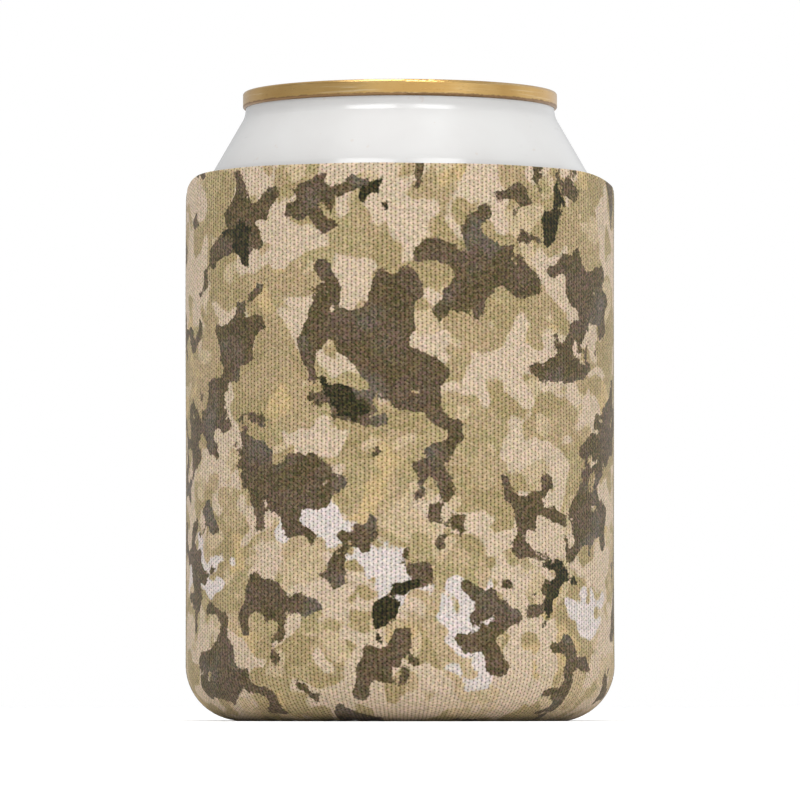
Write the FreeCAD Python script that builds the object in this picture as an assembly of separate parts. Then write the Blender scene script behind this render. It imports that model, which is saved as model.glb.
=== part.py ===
"""Insulated can cooler: a foam sleeve with a printed knit skin, and the drinks can that it holds.

Millimetres, +Z up, origin at the middle of the underside, front towards -Y.
The sleeve is two wall panels (front and back) of three layers each: knit cover, foam, lining. They are
butted along a seam at each side, turn under at the bottom corner and are joined to a round, slightly
raised base of the same three layers. The can lifts out, its pull tab tips up about a bend line in its
tongue, and the tab's nose pushes the tear panel down about its rear edge.
"""

import FreeCAD
import Part
import math
import os

from FreeCAD import Vector

# Sleeve
SLEEVE_H = 93.2          # height of the wall's cut top edge
OUTER_R = 36.9           # outside of the knit cover
CORNER_R = 9.6           # outside radius where the wall turns under
COVER_T = 0.6
FOAM_T = 2.45
LINING_T = 0.5
BASE_SEAM_R = 25.6       # where the turned-under wall meets the base
BASE_GAP = 0.1           # between the wall's turned edge and the base's rim
BASE_RECESS = 0.6        # how far the base is raised above the wall's foot
SEAM_STITCH_W = 4.4      # width of the side seam's row of stitches
SEAM_STITCH_T = 0.35     # depth to which the stitches press into the cover
SEAM_TAPE_W = 10.0       # tape over the side seam, inside
SEAM_TAPE_T = 0.25
BASE_STITCH_W = 1.7      # width of the ring of stitches round the base
BASE_STITCH_T = 0.3

# Can
CAN_R = 33.05
CAN_TOP = 108.0          # top of the double seam above the sleeve's foot
CAN_REST_GAP = 0.1       # between the can's stand ring and the base lining
CAN_T = 0.2              # wall thickness
CONE_ANGLE = 30.0        # slope of the neck cone from the vertical
NECK_R = 26.6
BODY_TOP = 91.0          # end of the can's straight body
SHOULDER_FILLET = 6.5
NECK_FILLET = 4.0
DOME_R = 21.6            # edge of the domed bottom
DOME_TOP = 10.4          # dome's crown above the can's foot
DOME_EDGE = 4.0          # dome's edge above the can's foot
STAND_INNER_R = 23.3     # stand ring
STAND_OUTER_R = 25.3
STAND_INNER_FILLET = 0.9
STAND_OUTER_FILLET = 1.2
TAPER_H = 10.5           # where the taper from the stand ring meets the wall
TAPER_FILLET = 8.0
SEAM_R = 27.05           # outside of the double seam
SEAM_H = 2.8
SEAM_FILLET = 0.5
SEAM_LIP_R = 26.65       # the seam's lower edge curls in to here, just clear of the neck
SEAM_LIP_FILLET = 0.35
CHUCK_TOP_R = 25.7       # inside of the double seam
CHUCK_FOOT_R = 24.3      # foot of the chuck wall, in the countersink
COUNTERSINK_DEPTH = 6.35
PANEL_R = 22.9           # centre panel of the can end
PANEL_DEPTH = 4.1        # centre panel below the seam's top
END_T = 0.25             # sheet thickness of the can end
DEBOSS = 0.4             # depth of the pressed recess round the tab and the mouth
PANEL_FILLET = 0.5
BODY_HOOK_GAP = 0.9      # neck's top edge below the seam's top
COMPOUND_INNER_R = 26.1  # ring of sealing compound inside the seam
COMPOUND_OUTER_R = 26.6
COMPOUND_LOW_GAP = 0.1   # above the neck's top edge
COMPOUND_TOP_GAP = 0.07  # below the seam's sheet

# Can end: mouth, tear panel and tab
MOUTH_HALF_W = 9.0
MOUTH_REAR_Y = -3.7
MOUTH_FRONT_Y = -20.4
MOUTH_REAR_FILLET = 4.0
SCORE_GAP = 0.12
RECESS_HALF_W = 10.4     # pressed recess round the mouth and the tab
RECESS_REAR_Y = 17.9
RECESS_FRONT_Y = -21.4
RECESS_REAR_FILLET = 8.0
RECESS_EDGE_FILLET = 0.2
BEAD_HALF_W = 5.2        # raised bead on the tear panel
BEAD_REAR_Y = -10.6
BEAD_FRONT_Y = -18.0
BEAD_REAR_FILLET = 2.0
BEAD_W = 0.9
BEAD_T = 0.2
BEAD_FILLET = 0.18
RIVET_HEAD_R = 2.5
RIVET_SHANK_R = 1.7
RIVET_HEAD_T = 0.6
RIVET_DISH_R = 1.3
RIVET_DISH_T = 0.2
RIVET_FILLET = 0.15
RIVET_GAP = 0.05         # round the shank and under the head
TAB_LIFT_GAP = 0.2       # tab's underside above the recess's floor
TAB_WEB_T = 0.3
TAB_RIM_T = 1.1          # curled rim
TAB_RIM_W = 1.6
TAB_RIM_FILLET = 0.45
TAB_TAIL_Y = 16.0
TAB_TAIL_R = 7.8
TAB_NOSE_Y = -9.0
TAB_NOSE_R = 6.0
TONGUE_HALF_W = 2.7
TONGUE_REAR_Y = 2.9
TONGUE_FRONT_Y = -4.43   # just behind the line, at Y -4.6, about which the tab tips
TONGUE_SLOT = 0.6        # cut round the tongue
SLOT_FRONT_Y = -4.71     # just ahead of that line
TONGUE_CORNER_R = 0.3    # corners of the tongue and the slot at that line
FINGER_HOLE_Y = 9.4
FINGER_HOLE_HALF_W = 4.8
FINGER_HOLE_HALF_L = 4.0

INNER_R = OUTER_R - COVER_T - FOAM_T - LINING_T
WALL_T = OUTER_R - INNER_R
CORNER_START_R = OUTER_R - CORNER_R
BASE_R = BASE_SEAM_R - BASE_GAP
BASE_TOP = BASE_RECESS + WALL_T
CAN_FOOT = BASE_TOP + CAN_REST_GAP
PANEL_TOP = CAN_TOP - PANEL_DEPTH
RECESS_FLOOR = PANEL_TOP - DEBOSS
TAB_UNDERSIDE = RECESS_FLOOR + TAB_LIFT_GAP

Z_AXIS = (Vector(0, 0, 0), Vector(0, 0, 1))


def revolved(face, start=0.0, sweep=360.0):
    """A face in the XZ plane turned about Z, from start through sweep degrees."""
    placed = face.copy()
    placed.rotate(*Z_AXIS, start)
    return placed.revolve(*Z_AXIS, sweep)


def disc(radius, low, high):
    """An upright cylinder on the Z axis."""
    return Part.makeCylinder(radius, high - low, Vector(0, 0, low))


def wall_section(outside, inside):
    """Section of a wall layer between two depths below the cover's surface.

    The layer runs down the wall, round the bottom corner and in to the base seam.
    """
    mid = math.sqrt(0.5)

    def face_of(depth):
        radius = CORNER_R - depth
        top = Vector(OUTER_R - depth, 0, SLEEVE_H)
        corner_top = Vector(OUTER_R - depth, 0, CORNER_R)
        corner_mid = Vector(CORNER_START_R + radius * mid, 0, CORNER_R - radius * mid)
        corner_foot = Vector(CORNER_START_R, 0, depth)
        foot = Vector(BASE_SEAM_R, 0, depth)
        return top, corner_top, corner_mid, corner_foot, foot

    a, b = face_of(outside), face_of(inside)
    edges = [
        Part.LineSegment(a[0], a[1]),
        Part.Arc(a[1], a[2], a[3]),
        Part.LineSegment(a[3], a[4]),
        Part.LineSegment(a[4], b[4]),
        Part.LineSegment(b[4], b[3]),
        Part.Arc(b[3], b[2], b[1]),
        Part.LineSegment(b[1], b[0]),
        Part.LineSegment(b[0], a[0]),
    ]
    return Part.Face(Part.Wire([e.toShape() for e in edges]))


def wall_strip(outside, inside, width, side):
    """A strip of a wall layer along a side seam; side is 0 for +X and 180 for -X."""
    half_angle = math.degrees(width / 2 / OUTER_R)
    return revolved(wall_section(outside, inside), side - half_angle, 2 * half_angle)


def sleeve_wall():
    """The two wall panels' layers, and the stitches and tape along their side seams."""
    depths = {
        "cover": (0, COVER_T),
        "foam": (COVER_T, COVER_T + FOAM_T),
        "lining": (COVER_T + FOAM_T, WALL_T),
    }
    sides = {"right": 0, "left": 180}
    stitches = {n: wall_strip(0, SEAM_STITCH_T, SEAM_STITCH_W, a) for n, a in sides.items()}
    tapes = {
        n: wall_strip(WALL_T - SEAM_TAPE_T, WALL_T, SEAM_TAPE_W, a) for n, a in sides.items()
    }
    made = {}
    for half, sweep in {"front": -180, "back": 180}.items():
        for layer, (outside, inside) in depths.items():
            solid = revolved(wall_section(outside, inside), 0, sweep)
            cuts = {"cover": stitches, "lining": tapes}.get(layer, {})
            for strip in cuts.values():
                solid = solid.cut(strip)
            made[f"{half}_{layer}"] = solid
    for side in sides:
        made[f"{side}_seam_stitch"] = stitches[side]
        made[f"{side}_seam_tape"] = tapes[side]
    return made


def sleeve_base():
    """The round base's three layers, and the ring of stitches that joins it to the wall."""
    made = {}
    z = BASE_RECESS
    for layer, thickness in {"cover": COVER_T, "foam": FOAM_T, "lining": LINING_T}.items():
        made[f"base_{layer}"] = disc(BASE_R, z, z + thickness)
        z += thickness
    low = BASE_RECESS - BASE_STITCH_T
    ring = disc(BASE_R, low, BASE_RECESS).cut(disc(BASE_R - BASE_STITCH_W, low, BASE_RECESS))
    made["base_seam_stitch"] = ring
    return made


def rounded_path(points, fillets):
    """Edges through (r, z) points in the XZ plane, with a tangent arc at each inner point."""
    points = [Vector(r, 0, z) for r, z in points]
    edges = []
    here = points[0]
    for i, radius in enumerate(fillets):
        before, corner, after = points[i], points[i + 1], points[i + 2]
        back = (before - corner).normalize()
        ahead = (after - corner).normalize()
        half = back.getAngle(ahead) / 2
        reach = radius / math.tan(half)
        start, end = corner + back * reach, corner + ahead * reach
        middle_way = (back + ahead).normalize()
        middle = corner + middle_way * (radius / math.sin(half) - radius)
        edges.append(Part.LineSegment(here, start).toShape())
        edges.append(Part.Arc(start, middle, end).toShape())
        here = end
    edges.append(Part.LineSegment(here, points[-1]).toShape())
    return edges


def sheet_section(edges, thickness):
    """Section of a thin sheet: the path's edges thickened to the side that thickness' sign picks."""
    return Part.Wire(edges).makeOffset2D(thickness, 0, True, True)


def can_body():
    """The drawn can: domed bottom, stand ring, wall, shoulder, neck cone and neck."""
    sag = DOME_TOP - DOME_EDGE
    sphere_r = (DOME_R**2 + sag**2) / (2 * sag)
    mid_r = DOME_R / 2
    mid_z = CAN_FOOT + DOME_TOP - sphere_r + math.sqrt(sphere_r**2 - mid_r**2)
    apex = Vector(0, 0, CAN_FOOT + DOME_TOP)
    rim = Vector(DOME_R, 0, CAN_FOOT + DOME_EDGE)
    dome = Part.Arc(apex, Vector(mid_r, 0, mid_z), rim).toShape()

    cone = math.radians(CONE_ANGLE)
    shoulder_z = BODY_TOP + SHOULDER_FILLET * math.tan(cone / 2)
    neck_z = shoulder_z + (CAN_R - NECK_R) / math.tan(cone)
    outline = [
        (DOME_R, CAN_FOOT + DOME_EDGE),
        (STAND_INNER_R, CAN_FOOT),
        (STAND_OUTER_R, CAN_FOOT),
        (CAN_R, CAN_FOOT + TAPER_H),
        (CAN_R, shoulder_z),
        (NECK_R, neck_z),
        (NECK_R, CAN_TOP - BODY_HOOK_GAP),
    ]
    fillets = [STAND_INNER_FILLET, STAND_OUTER_FILLET, TAPER_FILLET, SHOULDER_FILLET, NECK_FILLET]
    wall = rounded_path(outline, fillets)
    return revolved(sheet_section([dome] + wall, CAN_T))


def flat_outline(half_width, rear_y, front_y, rear_fillet, front_fillet):
    """A closed outline in the XY plane, symmetric about X = 0, with its four corners rounded."""
    w = half_width

    def corner(x, y, radius, start):
        centre = Vector(x, y, 0)
        at = [math.radians(start + turn) for turn in (0, 45, 90)]
        return [centre + Vector(math.cos(a), math.sin(a), 0) * radius for a in at]

    arcs = [
        corner(w - rear_fillet, rear_y - rear_fillet, rear_fillet, 0),
        corner(-w + rear_fillet, rear_y - rear_fillet, rear_fillet, 90),
        corner(-w + front_fillet, front_y + front_fillet, front_fillet, 180),
        corner(w - front_fillet, front_y + front_fillet, front_fillet, 270),
    ]
    edges = []
    for this, following in zip(arcs, arcs[1:] + arcs[:1]):
        edges.append(Part.Arc(*this).toShape())
        if this[2].distanceToPoint(following[0]) > 1e-6:
            edges.append(Part.LineSegment(this[2], following[0]).toShape())
    return Part.Wire(edges)


def two_radius_outline(rear_y, rear_r, front_y, front_r):
    """A closed outline in the XY plane: two round ends of different radius and tangent sides."""
    rear = Vector(0, rear_y - rear_r, 0)
    front = Vector(0, front_y + front_r, 0)
    lean = (rear_r - front_r) / (rear.y - front.y)
    out = Vector(math.sqrt(1 - lean**2), lean, 0)
    mirrored = Vector(-out.x, out.y, 0)
    edges = [
        Part.Arc(rear + out * rear_r, Vector(0, rear_y, 0), rear + mirrored * rear_r),
        Part.LineSegment(rear + mirrored * rear_r, front + mirrored * front_r),
        Part.Arc(front + mirrored * front_r, Vector(0, front_y, 0), front + out * front_r),
        Part.LineSegment(front + out * front_r, rear + out * rear_r),
    ]
    return Part.Wire([e.toShape() for e in edges])


def plate(outline, low, high):
    """A closed XY outline filled and raised from low to high."""
    face = Part.Face(outline)
    face.translate(Vector(0, 0, low))
    return face.extrude(Vector(0, 0, high - low))


def shrunk(outline, by):
    return outline.makeOffset2D(-by)


def softened(solid, radius, *levels):
    """The solid with every edge that lies flat at one of the levels rounded off."""

    def flat_at(edge, level):
        box = edge.BoundBox
        return abs(box.ZMin - level) < 0.01 and abs(box.ZMax - level) < 0.01

    chosen = [e for e in solid.Edges if any(flat_at(e, level) for level in levels)]
    return solid.makeFillet(radius, chosen)


def mouth_outline():
    return flat_outline(
        MOUTH_HALF_W, MOUTH_REAR_Y, MOUTH_FRONT_Y, MOUTH_REAR_FILLET, MOUTH_HALF_W
    )


def recess_tray():
    """The sheet pressed down round the mouth and the tab, and the block to cut for it."""
    outline = flat_outline(
        RECESS_HALF_W, RECESS_REAR_Y, RECESS_FRONT_Y, RECESS_REAR_FILLET, RECESS_HALF_W
    )
    under = RECESS_FLOOR - END_T
    block = plate(outline, under, PANEL_TOP)
    hollow = plate(shrunk(outline, END_T), RECESS_FLOOR, PANEL_TOP)
    return block.cut(hollow), block


def can_end():
    """The end: double seam, chuck wall, countersink, panel with its recess, mouth and rivet."""
    path = rounded_path(
        [
            (SEAM_LIP_R, CAN_TOP - SEAM_H),
            (SEAM_R, CAN_TOP - SEAM_H),
            (SEAM_R, CAN_TOP),
            (CHUCK_TOP_R, CAN_TOP),
            (CHUCK_FOOT_R, CAN_TOP - COUNTERSINK_DEPTH),
            (PANEL_R, CAN_TOP - COUNTERSINK_DEPTH),
            (PANEL_R, PANEL_TOP),
            (0, PANEL_TOP),
        ],
        [SEAM_LIP_FILLET, SEAM_FILLET, SEAM_FILLET, PANEL_FILLET, PANEL_FILLET, PANEL_FILLET],
    )
    sheet = revolved(sheet_section(path, END_T))
    tray, block = recess_tray()
    under = RECESS_FLOOR - END_T
    mouth = plate(mouth_outline(), under, RECESS_FLOOR)
    panel = sheet.cut(block).fuse(tray).removeSplitter().cut(mouth)
    panel = softened(panel, RECESS_EDGE_FILLET, PANEL_TOP)

    head_low = TAB_UNDERSIDE + TAB_WEB_T + RIVET_GAP
    head_high = head_low + RIVET_HEAD_T
    head = disc(RIVET_HEAD_R, head_low, head_high)
    head = head.cut(disc(RIVET_DISH_R, head_high - RIVET_DISH_T, head_high))
    head = softened(head, RIVET_FILLET, head_high)
    shank = disc(RIVET_SHANK_R, under, head_low)
    return panel.fuse([shank, head]).removeSplitter()


def seam_compound():
    """The ring of sealing compound under the top of the double seam."""
    low = CAN_TOP - BODY_HOOK_GAP + COMPOUND_LOW_GAP
    high = CAN_TOP - END_T - COMPOUND_TOP_GAP
    return disc(COMPOUND_OUTER_R, low, high).cut(disc(COMPOUND_INNER_R, low, high))


def tear_panel():
    """The scored panel that fills the mouth, with a raised bead that stiffens it."""
    panel = plate(shrunk(mouth_outline(), SCORE_GAP), RECESS_FLOOR - END_T, RECESS_FLOOR)
    outline = flat_outline(
        BEAD_HALF_W, BEAD_REAR_Y, BEAD_FRONT_Y, BEAD_REAR_FILLET, BEAD_HALF_W
    )
    top = RECESS_FLOOR + BEAD_T
    bead = plate(outline, RECESS_FLOOR, top).cut(plate(shrunk(outline, BEAD_W), RECESS_FLOOR, top))
    return panel.fuse(softened(bead, BEAD_FILLET, top))


def tab_tongue():
    """The part of the tab that the rivet holds down; it stops just short of the bend line."""
    outline = flat_outline(
        TONGUE_HALF_W, TONGUE_REAR_Y, TONGUE_FRONT_Y, TONGUE_HALF_W, TONGUE_CORNER_R
    )
    tongue = plate(outline, TAB_UNDERSIDE, TAB_UNDERSIDE + TAB_WEB_T)
    return tongue.cut(disc(RIVET_SHANK_R + RIVET_GAP, TAB_UNDERSIDE, TAB_UNDERSIDE + TAB_WEB_T))


def tab_outline(inset):
    """The tab's outline, moved in from its edge."""
    return two_radius_outline(
        TAB_TAIL_Y - inset, TAB_TAIL_R - inset, TAB_NOSE_Y + inset, TAB_NOSE_R - inset
    )


def curled_rim():
    """The tab's rim: a rounded oblong section carried round the outline."""
    path = tab_outline(TAB_RIM_W / 2)
    path.translate(Vector(0, 0, TAB_UNDERSIDE + TAB_RIM_T / 2))
    first = path.OrderedEdges[0]
    start = first.valueAt(first.FirstParameter)
    tangent = first.tangentAt(first.FirstParameter)
    oblong = flat_outline(
        TAB_RIM_W / 2, TAB_RIM_T / 2, -TAB_RIM_T / 2, TAB_RIM_FILLET, TAB_RIM_FILLET
    )
    upright = FreeCAD.Rotation(tangent.cross(Vector(0, 0, 1)), Vector(0, 0, 1), tangent)
    oblong.Placement = FreeCAD.Placement(start, upright)
    return path.makePipeShell([oblong], True, False)


def pull_tab():
    """The lever: a thin web inside the curled rim, slotted round the tongue, with a finger hole."""
    web_top = TAB_UNDERSIDE + TAB_WEB_T
    slot_half_w = TONGUE_HALF_W + TONGUE_SLOT
    slot_rear_y = TONGUE_REAR_Y + TONGUE_SLOT
    slot = flat_outline(slot_half_w, slot_rear_y, SLOT_FRONT_Y, slot_half_w, TONGUE_CORNER_R)
    hole = flat_outline(
        FINGER_HOLE_HALF_W,
        FINGER_HOLE_Y + FINGER_HOLE_HALF_L,
        FINGER_HOLE_Y - FINGER_HOLE_HALF_L,
        FINGER_HOLE_HALF_L,
        FINGER_HOLE_HALF_L,
    )
    web = plate(tab_outline(TAB_RIM_W / 2), TAB_UNDERSIDE, web_top)
    for opening in (slot, hole):
        web = web.cut(plate(opening, TAB_UNDERSIDE, web_top))
    return web.fuse(curled_rim())


def main():
    made = {**sleeve_wall(), **sleeve_base()}
    made["can_body"] = can_body()
    made["can_end"] = can_end()
    made["seam_compound"] = seam_compound()
    made["tab_tongue"] = tab_tongue()
    made["pull_tab"] = pull_tab()
    made["tear_panel"] = tear_panel()
    os.makedirs("parts", exist_ok=True)
    for name, shape in made.items():
        for solid in shape.Solids:
            if not solid.isValid() or solid.Volume <= 0:
                raise ValueError(f"{name} is not a valid solid")
        print(name, len(shape.Solids), "solid(s)", round(shape.Volume, 1), "mm3")
        shape.exportStep(os.path.join("parts", name + ".step"))


main()
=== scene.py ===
"""Looks for an insulated can cooler: a printed knit sleeve over foam, holding a short drinks can.

The sleeve's lengths are in millimetres until a point is handed to Blender, which works in metres. Angles
round the sleeve are in degrees: 0 faces the camera (-Y) and +90 is the right-hand side seam (+X).
"""

import math

import bpy
import numpy as np
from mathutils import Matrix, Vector


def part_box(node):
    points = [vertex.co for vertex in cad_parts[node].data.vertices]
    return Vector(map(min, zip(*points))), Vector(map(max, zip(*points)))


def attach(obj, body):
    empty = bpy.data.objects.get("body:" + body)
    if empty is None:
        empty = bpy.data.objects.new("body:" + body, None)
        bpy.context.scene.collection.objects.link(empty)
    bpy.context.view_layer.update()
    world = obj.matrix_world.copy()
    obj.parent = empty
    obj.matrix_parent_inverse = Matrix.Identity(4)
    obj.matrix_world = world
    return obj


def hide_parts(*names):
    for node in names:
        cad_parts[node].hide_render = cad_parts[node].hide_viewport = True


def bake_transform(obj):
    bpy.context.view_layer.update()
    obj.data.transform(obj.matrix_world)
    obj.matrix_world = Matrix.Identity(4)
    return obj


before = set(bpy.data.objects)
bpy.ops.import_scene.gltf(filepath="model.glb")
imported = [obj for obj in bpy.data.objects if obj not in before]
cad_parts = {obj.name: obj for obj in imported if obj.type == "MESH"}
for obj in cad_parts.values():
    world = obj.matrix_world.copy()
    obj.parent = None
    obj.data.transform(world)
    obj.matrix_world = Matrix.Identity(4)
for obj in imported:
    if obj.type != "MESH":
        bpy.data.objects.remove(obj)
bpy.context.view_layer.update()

MM = 0.001

# Sizes in mm that the CAD frame gives; its boxes are in metres
COVER_BOX, FOAM_BOX, LINING_BOX = (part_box(f"front_{n}") for n in ("cover", "foam", "lining"))
OUTER_R = COVER_BOX[1][0] / MM
SLEEVE_H = COVER_BOX[1][2] / MM
COVER_T = OUTER_R - FOAM_BOX[1][0] / MM
LINING_DEPTH = OUTER_R - LINING_BOX[1][0] / MM
BASE_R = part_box("base_cover")[1][0] / MM
BASE_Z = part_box("base_cover")[0][2] / MM
BASE_FOAM_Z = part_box("base_foam")[0][2] / MM
BASE_LINING_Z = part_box("base_lining")[0][2] / MM
BASE_TOP_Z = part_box("base_lining")[1][2] / MM
WALL_T = BASE_TOP_Z - BASE_Z
TONGUE_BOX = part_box("tab_tongue")
RIM_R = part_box("can_end")[1][0]          # in metres


def lowest_rim_point():
    """Lowest point of the can end's outermost wall, in metres."""
    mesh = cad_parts["can_end"].data
    return min(v.co.z for v in mesh.vertices if math.hypot(v.co.x, v.co.y) > RIM_R - 0.1 * MM)


RIM_LOW = lowest_rim_point()

# The wall's bottom corner, and where the turned-under wall meets the base
CORNER_R = 9.6
CORNER_CENTRE_R = OUTER_R - CORNER_R
CORNER_ARC = CORNER_R * math.pi / 2
FOOT_RUN = CORNER_CENTRE_R - BASE_R
CLOTH_LOW = CORNER_R - CORNER_ARC - FOOT_RUN   # developed height of the wall's inner edge, below zero
HALF_ROUND = math.pi * OUTER_R

# The laminate's hand-made unevenness. Slow waves of its face: how high in mm, how many round the sleeve,
# where they start in radians, and the mm of height in which they move on by one radian
FACE_WAVES = ((0.060, 2, 0.6, 31.0), (0.045, 5, 0.0, -17.0), (0.035, 9, 1.3, 9.5))
SEAM_VALLEY = 0.32       # how far the side seam sinks in
SEAM_VALLEY_W = 2.4
SEAM_CREASE = 0.22       # and the narrow crease along its middle
SEAM_CREASE_W = 0.6
STITCH_PITCH = 2.2       # along the side seam
STITCH_PULL = 0.05       # how deep the face waves from stitch to stitch
STITCH_PULL_W = 3.2
BASE_PUCKERS = 46        # gathers round the base seam
GATHER = 0.11            # how high they stand on the wall
PUCKER = 0.10            # and on the base
FOOT_TUCK = 0.45         # how far the wall's lower end is drawn into the base seam
FOOT_TUCK_H = 1.1
LIP = 0.10               # how far the wall's faces draw together at the cut edge
LIP_H = 1.6
LEFT_DIP = 2.2           # how far the cut edge drops at each side seam
RIGHT_DIP = 1.8
LEFT_DIP_W = 14.5        # how wide each drop is, in degrees
RIGHT_DIP_W = 23.0
TOP_DIP_H = 13.0         # height over which the drop fades out
EDGE_WAVES = ((0.06, 3, 0.8), (0.03, 11, 0.0))   # the cut edge's own waves, as above
LOWEST_Z = 0.02          # the cover stays at least this far above the table

# Knit
WALE = 0.74              # between columns of needle holes
COURSE = 0.64            # between holes in a column
PRINT_SEED = 16


# ---------------------------------------------------------------- the wall's shape

def seam_distance(angle):
    """Arc length in mm from the nearest side seam."""
    off = np.abs(np.asarray(angle) % 180.0 - 90.0)
    return np.radians(off) * OUTER_R


def pucker_wave(a):
    """The gathers' wave round the base, -1 to 1, wider here and narrower there; a is in radians."""
    return np.sin(BASE_PUCKERS * a + 1.7 * np.sin(3 * a))


def unevenness(angle, height, depth):
    """How far a layer's surface stands out from the true wall, in mm."""
    a = np.radians(angle)
    soft = sum(size * np.sin(count * a + start + height / rise) for size, count, start, rise in FACE_WAVES)
    near_seam = seam_distance(angle)
    outer_share = 1 - depth / WALL_T
    valley = SEAM_VALLEY * np.exp(-((near_seam / SEAM_VALLEY_W) ** 2))
    crease = SEAM_CREASE * np.exp(-((near_seam / SEAM_CREASE_W) ** 2))
    pull = STITCH_PULL * np.exp(-((near_seam / STITCH_PULL_W) ** 2))
    pull = pull * np.cos(2 * math.pi * height / STITCH_PITCH)
    low = np.clip((CORNER_R - height) / (CORNER_R - CLOTH_LOW), 0, 1)
    gathers = GATHER * low**2 * pucker_wave(a)
    foot = FOOT_TUCK * np.exp(-(((height - CLOTH_LOW) / FOOT_TUCK_H) ** 2))
    lip = LIP * np.exp(-(((SLEEVE_H - height) / LIP_H) ** 2)) * (1 - 2 * depth / WALL_T)
    return soft - (valley + crease) * outer_share + pull * outer_share - foot + gathers - lip


def top_drop(angle):
    """How far the cut top edge sits below its highest level, in mm."""
    off = np.degrees(seam_distance(angle) / OUTER_R)
    a = np.radians(angle)
    wave = sum(size * (1 + np.sin(count * a + start)) for size, count, start in EDGE_WAVES)
    right = np.sin(a) > 0
    depth = np.where(right, RIGHT_DIP, LEFT_DIP)
    width = np.where(right, RIGHT_DIP_W, LEFT_DIP_W)
    return depth * np.exp(-((off / width) ** 2)) + wave


def wall_points(angle, height, depth, lift=0.0):
    """Points in mm on the wall: angle in degrees, developed height, depth below the cover's face.

    The developed height follows the cloth: below CORNER_R it runs round the corner and inwards.
    """
    angle, height, depth = np.broadcast_arrays(
        np.asarray(angle, float), np.asarray(height, float), np.asarray(depth, float)
    )
    fade = np.clip((height - SLEEVE_H + TOP_DIP_H) / TOP_DIP_H, 0, 1) ** 2
    straight_z = height - top_drop(angle) * fade
    turn = np.clip((CORNER_R - height) / CORNER_R, 0, math.pi / 2)
    run = np.clip(CORNER_R - CORNER_ARC - height, 0, None)
    out = unevenness(angle, height, depth) + lift
    radius = CORNER_R - depth + out
    straight = height >= CORNER_R
    r = np.where(straight, OUTER_R - depth + out, CORNER_CENTRE_R + radius * np.cos(turn) - run)
    z = np.where(straight, straight_z, CORNER_R - radius * np.sin(turn))
    z = np.maximum(z, LOWEST_Z + depth * 0.98)   # inner layers stay above outer ones
    a = np.radians(angle)
    return np.stack([r * np.sin(a), -r * np.cos(a), z], axis=-1)


# ---------------------------------------------------------------- meshes

def make_mesh(name, points, faces):
    """A smooth-shaded mesh object from points in mm."""
    mesh = bpy.data.meshes.new(name)
    mesh.from_pydata((np.asarray(points) * MM).tolist(), [], faces)
    mesh.validate()
    mesh.shade_smooth()
    obj = bpy.data.objects.new(name, mesh)
    bpy.context.scene.collection.objects.link(obj)
    return obj


def store(obj, name, values):
    """A vector attribute on each vertex."""
    layer = obj.data.attributes.new(name, "FLOAT_VECTOR", "POINT")
    layer.data.foreach_set("vector", np.asarray(values, np.float32).ravel())


def grid_faces(rows, columns, wrap_rows=False, wrap_columns=False):
    """Quads of a rows by columns grid of points, numbered row by row."""
    faces = []
    for i in range(rows if wrap_rows else rows - 1):
        for j in range(columns if wrap_columns else columns - 1):
            right = (j + 1) % columns
            here, beyond = i * columns, (i + 1) % rows * columns
            faces.append((here + j, here + right, beyond + right, beyond + j))
    return faces


def wall_layer(name, first, last, outside, inside, top, edge, step):
    """One layer of one wall panel: a closed shell with a rounded cut edge and closed side edges.

    It lies between two angles and two depths. Its rounded cut edge takes up the top edge mm. Points are
    about step mm apart. Returns the object, and each point's angle and developed height.
    """
    steps = int(round(math.radians(last - first) * OUTER_R / step))
    angles = np.linspace(first, last, steps + 1)
    steps = int(round((top - edge - CLOTH_LOW) / step))
    heights = np.linspace(top - edge, CLOTH_LOW, steps + 1)
    turn = np.radians([30, 60, 90, 120, 150])
    middle, half = (outside + inside) / 2, (inside - outside) / 2
    rim_depths = middle - half * np.cos(turn)
    rim_heights = top - edge + edge * np.sin(turn)
    depths = np.concatenate([np.full(len(heights), outside), rim_depths, np.full(len(heights), inside)])
    heights_all = np.concatenate([heights[::-1], rim_heights, heights])
    grid_a, grid_h = np.meshgrid(angles, heights_all)
    grid_d = np.repeat(depths[:, None], len(angles), axis=1)
    points = wall_points(grid_a, grid_h, grid_d).reshape(-1, 3)
    rows, columns = grid_h.shape
    faces = grid_faces(rows, columns, wrap_rows=True)
    count = len(heights)
    for j, order in ((0, 1), (columns - 1, -1)):
        for i in range(count - 1):
            outer, inner = i * columns + j, (rows - 1 - i) * columns + j
            quad = (outer, outer + columns, inner - columns, inner)
            faces.append(quad[::order])
        rim = [(count - 1 + k) * columns + j for k in range(len(turn) + 2)]
        faces.append(tuple(rim[::order]))
    obj = make_mesh(name, points, faces)
    cloth_u = np.radians(grid_a) * OUTER_R
    store(obj, "cloth", np.stack([cloth_u, grid_h, np.zeros_like(cloth_u)], axis=-1).reshape(-1, 3))
    return obj, grid_a.ravel(), grid_h.ravel()


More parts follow.
